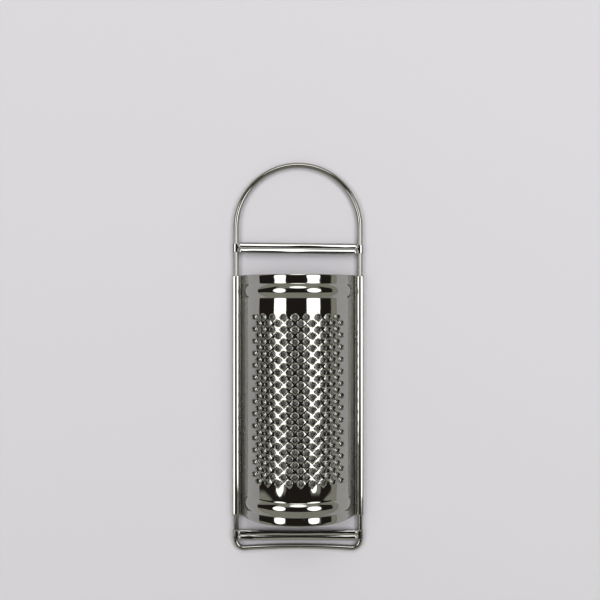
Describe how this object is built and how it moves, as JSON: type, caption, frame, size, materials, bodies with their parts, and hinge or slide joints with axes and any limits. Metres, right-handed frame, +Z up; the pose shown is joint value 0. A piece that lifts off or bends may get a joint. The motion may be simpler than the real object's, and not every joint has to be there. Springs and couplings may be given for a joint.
{
  "type": "rasp grater",
  "caption": "Small half-round rasp grater of bright steel: a sheet of punched teeth rolled onto a bent wire frame with a loop handle and two pressed crossbars.",
  "frame": {"origin": "middle of the bounding box in X and Y, on the surface that the rolled edges and tongues lie on", "axes": "+Y along the legs towards the handle, +Z up through the crown of the sheet, +X across to the right leg"},
  "size_m": [0.0486, 0.144, 0.021],
  "materials": {
    "wire": "bright drawn stainless wire, polished",
    "sheet": "mirror-bright rolled stainless sheet, raw sharp rims on the teeth",
    "crossbar": "mirror-bright pressed stainless strip, slightly dented by hand assembly"
  },
  "bodies": {
    "root": {"wire_frame": "wire", "grater_sheet": "sheet", "handle_crossbar": "crossbar", "foot_crossbar": "crossbar"}
  },
  "joints": []
}
